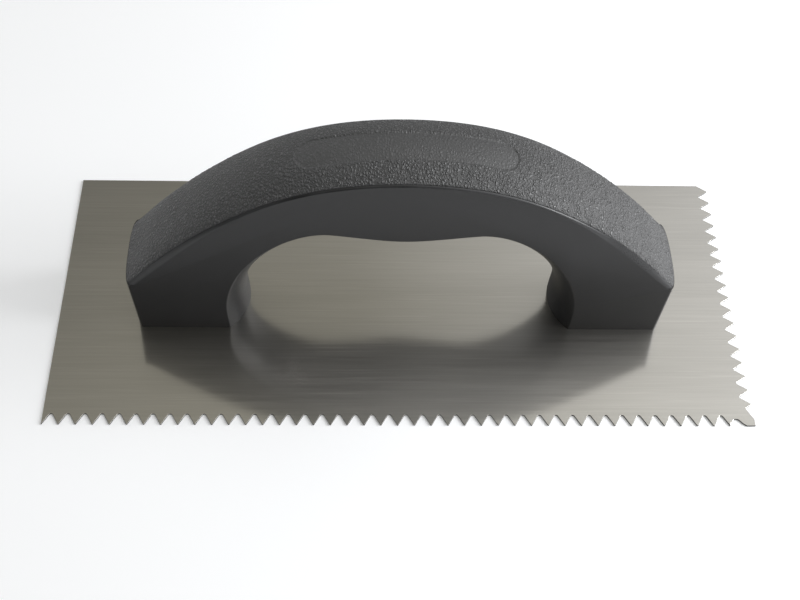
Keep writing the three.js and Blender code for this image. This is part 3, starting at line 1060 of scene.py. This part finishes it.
def band_mesh(settings):
    """The band as a dense sheet over the crown, closed by a coarse underside."""
    top = crown(GRIP_SPACING)
    steps = round((BAND_HALF_WIDTH + LIP_DEPTH + CURVE_EXTRA) / GRIP_SPACING)
    sections, rooms = [], []
    for rise, square, along in zip(top.rise, top.square, top.along):
        gap = settings.side_gap * float(joint_share(along))
        lip_y = HALF_WIDTH - float(strip_width(along)) - gap
        half, lengths = band_top(rise, square, lip_y, steps)
        under_y = np.linspace(lip_y - UNDER_INSET, UNDER_INSET - lip_y, UNDER_STEPS + 1)
        under = bulge(rise - BAND_SWELL, under_y, BAND_HALF_WIDTH, square) - BAND_EDGE
        sections.append(np.concatenate([both_halves(half), np.stack([under_y, under], axis=1)]))
        room = smoothstep(lengths, LIP_DEPTH - LIP_ROUND, LIP_DEPTH + LIP_ROUND)
        rooms.append(np.concatenate([room, room[-2::-1], np.zeros(UNDER_STEPS + 1)]))
    points = sweep(top, np.array(sections))
    rooms = np.array(rooms)
    rows, columns = points.shape[:2]
    over = 2 * steps + 1
    sunk = recess_depth_at(points[:, :over, 0], points[:, :over, 1], settings)
    sunk *= (top.spots[:, 1] > ARCH_TOP[1])[:, None]
    inward = np.stack([top.below[:, 0], np.zeros(rows), top.below[:, 1]], axis=1)
    points[:, :over] -= sunk[:, :, None] * inward[:, None, :] * settings.recess_depth
    rooms[:, :over] *= 1 - (1 - settings.recess_grain) * sunk
    rooms[[0, -1]] = 0
    caps = [list(range(columns)), [(rows - 1) * columns + step
                                   for step in reversed(range(columns))]]
    faces = grid_faces(rows, columns, wrap_columns=True) + caps
    mesh = mesh_of("trowel_grip", points, faces, "grain_room", rooms)
    clean(mesh, WELD / 10)
    return mesh


GRAIN_STRETCH = (1.2, 0.75, 1.0)


def grain_height(wiring, spot, cells, seed):
    """Height of a leather-like grain, 0 to 1: rounded pebbles parted by narrow creases, a
    little longer across the band than along it, and bent by noise so that no two are alike.
    The same nodes serve the geometry and the material, so their pebbles coincide."""
    shift = wiring.add("ShaderNodeCombineXYZ", {"X": seed})
    scaled = wiring.vector("SCALE", {0: spot, "Scale": cells})
    moved = wiring.vector("MULTIPLY_ADD", {
        0: scaled, 1: GRAIN_STRETCH, 2: shift.outputs[0]})
    warp = wiring.add("ShaderNodeTexNoise", {"Vector": moved, "Scale": 1.3, "Detail": 2.0})
    centred = wiring.vector("ADD", {0: warp.outputs["Color"], 1: (-0.5, -0.5, -0.5)})
    bent = wiring.vector("MULTIPLY_ADD", {0: centred, 1: (1.2, 1.2, 1.2), 2: moved})
    pebbles = wiring.add("ShaderNodeTexVoronoi", {
        "Vector": bent, "Scale": 1.0}, feature="DISTANCE_TO_EDGE")
    round_top = wiring.remap(pebbles.outputs["Distance"], 0, 0.36, kind="SMOOTHSTEP")
    uneven = wiring.add("ShaderNodeTexNoise", {
        "Vector": moved, "Scale": 0.45, "Detail": 1.0}).outputs[0]
    level = wiring.remap(uneven, *NOISE_RANGE, 0.55, 1.0, kind="SMOOTHSTEP")
    return wiring.math("MULTIPLY", round_top, level)


def grain_tree(material):
    """Raises the grain out of a dense surface."""
    tree, wiring, entry = geometry_tree("Leather grain", [
        ("Grain size", "NodeSocketFloat"), ("Grain depth", "NodeSocketFloat"),
        ("Seed", "NodeSocketFloat")])
    spot = wiring.add("GeometryNodeInputPosition").outputs[0]
    cells = wiring.math("DIVIDE", 1.0, entry.outputs["Grain size"])
    height = grain_height(wiring, spot, cells, entry.outputs["Seed"])
    room = wiring.add("GeometryNodeInputNamedAttribute", {"Name": "grain_room"},
                      data_type="FLOAT").outputs[0]
    allowed = wiring.math("MULTIPLY", height, room)
    around_middle = wiring.math("SUBTRACT", allowed, wiring.math("MULTIPLY", room, 0.5))
    raised = wiring.math("MULTIPLY", around_middle, entry.outputs["Grain depth"])
    normal = wiring.add("GeometryNodeInputNormal").outputs[0]
    grained = wiring.add("GeometryNodeSetPosition", {
        "Geometry": entry.outputs["Geometry"],
        "Offset": wiring.vector("SCALE", {0: normal, "Scale": raised})})
    finish_tree(wiring, grained.outputs[0], material)
    return tree


def build_grip(settings):
    base = place(band_mesh(settings), "band")
    material = grip_material(settings)
    mesh = bake(base, grain_tree(material), {
        "Grain size": settings.grain_size, "Grain depth": settings.grain_depth,
        "Seed": float(settings.seed)}, "trowel_grip")
    discard(base)
    smooth(mesh, 55)
    return place(mesh, "trowel_grip")


# Screws

SCREW_SEGMENTS = 32
SHANK_RADIUS = 1.9 * MM
POINT_LENGTH = 4 * MM
POINT_BLUNTNESS = 0.12
HEAD_ROUND = (0.08 * MM, 0.06 * MM)
HEAD_RIM = 0.2 * MM
NECK_LENGTH = 0.1 * MM
NECK_SHARE = 0.85
THREAD_RUN_OUT = 1.5 * MM
THREAD_SHARPNESS = 0.28
ROWS_PER_TURN = 10
# Heights above the head's face, reach of an arm and half its width, at the mouth and bottom
DRIVE_LAYERS = ((-0.5 * MM, 2.2 * MM, 0.64 * MM), (1.4 * MM, 1.1 * MM, 0.42 * MM))


def screw_mesh(settings):
    """One countersunk screw standing on its head, its point up, centred on the Z axis."""
    low, high = SCREW_BOXES[0]
    base, top = low.z, high.z
    head_radius = (high.x - low.x) / 2
    cone_top = base + HEAD_RIM + head_radius - SHANK_RADIUS
    thread_base = cone_top + NECK_LENGTH
    centre = Vector((0, 0, 0))
    shape = bmesh.new()
    profile = [
        (0, base), (head_radius - HEAD_ROUND[0], base), (head_radius, base + HEAD_ROUND[1]),
        (head_radius, base + HEAD_RIM), (SHANK_RADIUS * NECK_SHARE, thread_base)]
    previous = lathe(shape, profile, centre, SCREW_SEGMENTS)[-1]
    rows = int((top - cone_top) * ROWS_PER_TURN / settings.thread_pitch)
    root = SHANK_RADIUS - settings.thread_depth
    for row in range(1, rows + 1):
        z = thread_base + row * (top - thread_base) / rows
        taper = min(1.0, (top - z) / POINT_LENGTH + POINT_BLUNTNESS)
        started = min(1.0, (z - cone_top) / THREAD_RUN_OUT)
        ring = []
        for step, (x, y) in enumerate(around(centre, 1, SCREW_SEGMENTS)):
            turn = (z / settings.thread_pitch - step / SCREW_SEGMENTS) % 1.0
            crest = max(0.0, 1 - abs(turn - 0.5) / THREAD_SHARPNESS)
            radius = (root + settings.thread_depth * crest * started) * taper
            ring.append(shape.verts.new((radius * x, radius * y, z)))
        skin(shape, previous, ring)
        previous = ring
    shape.faces.new(previous)
    return write_mesh(shape, bpy.data.meshes.new("screw"))


def drive_cutter():
    """A cross drive that narrows towards its bottom."""
    low, _ = SCREW_BOXES[0]
    shape = bmesh.new()
    layers = []
    for height, reach, width in DRIVE_LAYERS:
        z = low.z + height
        ring = []
        for quarter in range(4):
            turn = Euler((0, 0, quarter * math.pi / 2)).to_matrix()
            for corner in ((reach, -width, z), (reach, width, z), (width, width, z)):
                ring.append(shape.verts.new(turn @ Vector(corner)))
        layers.append(ring)
    mouth, bottom = layers
    shape.faces.new(list(reversed(mouth)))
    shape.faces.new(bottom)
    skin(shape, mouth, bottom)
    return write_mesh(shape, bpy.data.meshes.new("drive"))


def screws_tree(material):
    """Sets the screw on every point, each turned by its own random angle."""
    tree, wiring, entry = geometry_tree("Screws on points", [
        ("Screw", "NodeSocketObject"), ("Seed", "NodeSocketInt")])
    screw = wiring.add("GeometryNodeObjectInfo", {"Object": entry.outputs["Screw"]})
    turn = wiring.add("FunctionNodeRandomValue", {"Seed": entry.outputs["Seed"]},
                      data_type="FLOAT_VECTOR")
    turn.inputs[0].default_value = (0, 0, 0)
    turn.inputs[1].default_value = (0, 0, math.pi)
    screws = wiring.add("GeometryNodeInstanceOnPoints", {
        "Points": entry.outputs["Geometry"], "Instance": screw.outputs["Geometry"],
        "Rotation": turn.outputs[0]})
    finish_tree(wiring, screws.outputs[0], material)
    return tree


def build_screws(settings):
    blank = place(screw_mesh(settings), "blank")
    drive = place(drive_cutter(), "drive")
    screw = place(cut(blank, drive), "screw")
    smooth(screw.data, 30)
    points = bpy.data.meshes.new("points")
    points.from_pydata([(centre.x, centre.y, 0) for centre in screw_centres()], [], [])
    spots = place(points, "spots")
    material = zinc_material(settings)
    mesh = bake(spots, screws_tree(material), {
        "Screw": screw, "Seed": settings.seed}, "trowel_screws")
    discard(blank, drive, screw, spots)
    return place(mesh, "trowel_screws")


# Stage

FLOOR_HALF_SIZE = 3.0
FLOOR_GAP = 0.02 * MM
LIGHT_SIZE = 0.3
LIGHT_TARGET = (0, 0, 0.03)
KEY_PLACE = (0.55, 0, 0.25)
FILL_PLACE = (0.1, 0.05, 0.7)
CAMERA_PLACE = (-15.82 * MM, -252.69 * MM, 346.62 * MM)
CAMERA_ANGLES = (35.938, -1.955, -0.951)
CAMERA_LENS = 56.187
CAMERA_SENSOR = 36

# Soft patches of light around the room: azimuth from +Y towards +X and elevation of the
# middle, half widths (degrees), strength and colour
WARM = (1.0, 0.97, 0.83)
NEUTRAL = (0.975, 0.985, 1.0)
COOL = (0.97, 0.985, 1.0)
ROOM_PATCHES = (
    ((0, 80), (360, 35), 0.74, WARM),
    ((0, 45), (45, 35), 0.2, WARM),
    ((45, 45), (45, 35), 1.4, NEUTRAL),
    ((90, 45), (45, 35), 2.8, NEUTRAL),
    ((135, 45), (45, 35), 1.2, COOL),
    ((270, 10), (45, 35), 0.25, NEUTRAL),
    ((315, 10), (45, 35), 2.5, COOL),
)


def floor_material(colour, glow):
    """A plain pale floor with the faintest unevenness, a little lit from within."""
    material, wiring, shader, spot = new_material("pale_floor")
    cloud = noise_on(wiring, spot, 3)
    wiring.feed(shader, {
        "Base Color": tinted(wiring, colour, cloud, 0.99, 1.01), "Roughness": 0.9,
        "Emission Color": (*colour, 1), "Emission Strength": glow})
    return material


def add_floor(settings):
    half = FLOOR_HALF_SIZE
    mesh = bpy.data.meshes.new("floor")
    mesh.from_pydata([(-half, -half, 0), (half, -half, 0), (half, half, 0), (-half, half, 0)],
                     [], [(0, 1, 2, 3)])
    mesh.materials.append(floor_material(settings.floor, settings.floor_glow))
    floor = place(mesh, "floor")
    floor.location.z = -FLOOR_GAP


def add_area_light(name, location, power):
    data = bpy.data.lights.new(name, "AREA")
    data.size = LIGHT_SIZE
    data.energy = power
    data.color = NEUTRAL
    light = place(data, name)
    light.location = location
    direction = Vector(LIGHT_TARGET) - Vector(location)
    light.rotation_euler = direction.to_track_quat("-Z", "Y").to_euler()
    light.visible_camera = False


def add_world():
    """Soft room light: bright windows on the right and low at the back left, and a dim, warm
    glow overhead."""
    world = bpy.data.worlds.new("room")
    bpy.context.scene.world = world
    world.use_nodes = True
    world.node_tree.nodes.clear()
    wiring = Wiring(world.node_tree)
    heading = wiring.add("ShaderNodeTexCoord").outputs["Generated"]
    split = wiring.add("ShaderNodeSeparateXYZ", {"Vector": heading})
    azimuth = wiring.math("ARCTAN2", split.outputs["X"], split.outputs["Y"])
    elevation = wiring.math("ARCSINE", split.outputs["Z"])
    total = (0, 0, 0)
    for (turn, height), half_widths, strength, colour in ROOM_PATCHES:
        off_turn = wiring.math("SUBTRACT", azimuth, math.radians(turn))
        off_turn = wiring.math("ARCTAN2", wiring.math("SINE", off_turn),
                               wiring.math("COSINE", off_turn))
        off_height = wiring.math("SUBTRACT", elevation, math.radians(height))
        across, up = (
            wiring.remap(wiring.math("ABSOLUTE", off), 0, math.radians(half_width), 1, 0)
            for off, half_width in zip((off_turn, off_height), half_widths))
        tint = wiring.vector("SCALE", {
            0: [channel * strength for channel in colour],
            "Scale": wiring.math("MULTIPLY", across, up)})
        total = wiring.vector("ADD", {0: total, 1: tint})
    background = wiring.add("ShaderNodeBackground", {"Color": total, "Strength": 1.0})
    wiring.add("ShaderNodeOutputWorld", {"Surface": background.outputs[0]})


def add_camera():
    data = bpy.data.cameras.new("camera")
    data.sensor_width = CAMERA_SENSOR
    data.lens = CAMERA_LENS
    camera = place(data, "camera")
    camera.location = CAMERA_PLACE
    camera.rotation_euler = [math.radians(angle) for angle in CAMERA_ANGLES]
    bpy.context.scene.camera = camera


def build_stage(settings):
    add_floor(settings)
    add_world()
    add_area_light("key", KEY_PLACE, settings.key_power)
    add_area_light("fill", FILL_PLACE, settings.fill_power)
    bpy.context.scene.view_settings.view_transform = "Standard"
    add_camera()


# Operators, panel and registration

def finish_piece(piece, nodes):
    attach(piece, "root")
    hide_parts(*nodes)


class TROWEL_OT_stage(bpy.types.Operator):
    """Add the floor, the lights and the camera"""
    bl_idname = "trowel.stage"
    bl_label = "Stage"

    def execute(self, context):
        build_stage(context.scene.trowel_stage)
        return {"FINISHED"}


class TROWEL_OT_blade(bpy.types.Operator):
    """Add the notched steel blade"""
    bl_idname = "trowel.blade"
    bl_label = "Blade"

    def execute(self, context):
        finish_piece(build_blade(context.scene.trowel_blade), ["blade"])
        return {"FINISHED"}


class TROWEL_OT_handle(bpy.types.Operator):
    """Add the smooth arched handle"""
    bl_idname = "trowel.handle"
    bl_label = "Handle"

    def execute(self, context):
        finish_piece(build_handle(context.scene.trowel_handle), ["handle_core"])
        return {"FINISHED"}


class TROWEL_OT_grip(bpy.types.Operator):
    """Add the textured grip band"""
    bl_idname = "trowel.grip"
    bl_label = "Grip band"

    def execute(self, context):
        finish_piece(build_grip(context.scene.trowel_grip), ["grip_cover"])
        return {"FINISHED"}


class TROWEL_OT_screws(bpy.types.Operator):
    """Add the countersunk screws"""
    bl_idname = "trowel.screws"
    bl_label = "Screws"

    def execute(self, context):
        finish_piece(build_screws(context.scene.trowel_screws), SCREW_NODES)
        return {"FINISHED"}


class TROWEL_PT_panel(bpy.types.Panel):
    """Lists the trowel's pieces"""
    bl_idname = "TROWEL_PT_panel"
    bl_label = "Notched Trowel"
    bl_space_type = "VIEW_3D"
    bl_region_type = "UI"
    bl_category = "Trowel"

    def draw(self, context):
        for operator in OPERATORS:
            self.layout.operator(operator.bl_idname)


OPERATORS = (TROWEL_OT_stage, TROWEL_OT_blade, TROWEL_OT_handle, TROWEL_OT_grip,
             TROWEL_OT_screws)
SETTINGS = {
    "trowel_blade": TrowelBladeSettings,
    "trowel_handle": TrowelHandleSettings,
    "trowel_grip": TrowelGripSettings,
    "trowel_screws": TrowelScrewSettings,
    "trowel_stage": TrowelStageSettings,
}


def register():
    for group in (*SETTINGS.values(), *OPERATORS, TROWEL_PT_panel):
        bpy.utils.register_class(group)
    for name, group in SETTINGS.items():
        setattr(bpy.types.Scene, name, PointerProperty(type=group))


def unregister():
    for name in SETTINGS:
        delattr(bpy.types.Scene, name)
    for group in reversed((*SETTINGS.values(), *OPERATORS, TROWEL_PT_panel)):
        bpy.utils.unregister_class(group)


def main():
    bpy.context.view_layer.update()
    register()
    bpy.ops.trowel.stage()
    bpy.ops.trowel.blade()
    bpy.ops.trowel.handle()
    bpy.ops.trowel.grip()
    bpy.ops.trowel.screws()


if __name__ == "__main__":
    main()
